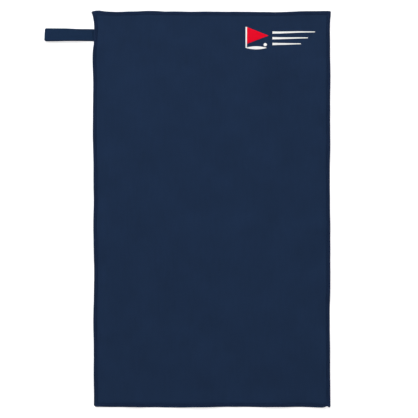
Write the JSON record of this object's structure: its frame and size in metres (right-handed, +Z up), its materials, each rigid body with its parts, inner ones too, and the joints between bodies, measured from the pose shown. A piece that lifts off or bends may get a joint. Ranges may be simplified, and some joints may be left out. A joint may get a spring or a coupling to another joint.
{
  "type": "golf towel",
  "caption": "Flat rectangular microfibre golf towel with an overlocked edge, a sewn tape hanging loop and a printed emblem in one corner",
  "frame": {"origin": "middle of the whole towel, loop included, on the surface that it lies on", "axes": "+Y along the cloth's long side towards the end with the loop and the emblem, +X across it towards the emblem's side, +Z up out of the printed face"},
  "size_m": [0.361, 0.502, 0.0062],
  "materials": {
    "microfibre": "brushed suede, matt with a faint sheen",
    "thread": "textured polyester thread, matt",
    "tape": "ribbed woven tape, matt",
    "print_red": "heat-transfer film, satin",
    "print_white": "heat-transfer film, satin"
  },
  "bodies": {
    "upper_half": {"cloth_upper": "microfibre", "top_needle_thread": "thread", "top_face_thread": "thread", "top_back_thread": "thread", "left_upper_needle_thread": "thread", "left_upper_face_thread": "thread", "left_upper_back_thread": "thread", "right_upper_needle_thread": "thread", "right_upper_face_thread": "thread", "right_upper_back_thread": "thread", "loop_sewn_ends": "tape", "chain_tail_top_left": "thread", "print_red_pennant": "print_red", "print_white_flagstick": "print_white", "print_white_stripes": "print_white"},
    "lower_half": {"cloth_lower": "microfibre", "bottom_needle_thread": "thread", "bottom_face_thread": "thread", "bottom_back_thread": "thread", "left_lower_needle_thread": "thread", "left_lower_face_thread": "thread", "left_lower_back_thread": "thread", "right_lower_needle_thread": "thread", "right_lower_face_thread": "thread", "right_lower_back_thread": "thread", "chain_tail_bottom_right": "thread"},
    "loop": {"hanging_loop": "tape"}
  },
  "joints": [
    {"name": "cloth_fold", "type": "hinge", "parent": "upper_half", "child": "lower_half", "pos_m": [0.031, 0.0005, 0.0021], "axis": [-1, 0, 0], "range_deg": [0, 170]},
    {"name": "loop_flap", "type": "hinge", "parent": "upper_half", "child": "loop", "pos_m": [-0.1188, 0.221, 0.0021], "axis": [0, 1, 0], "range_deg": [0, 160]}
  ]
}
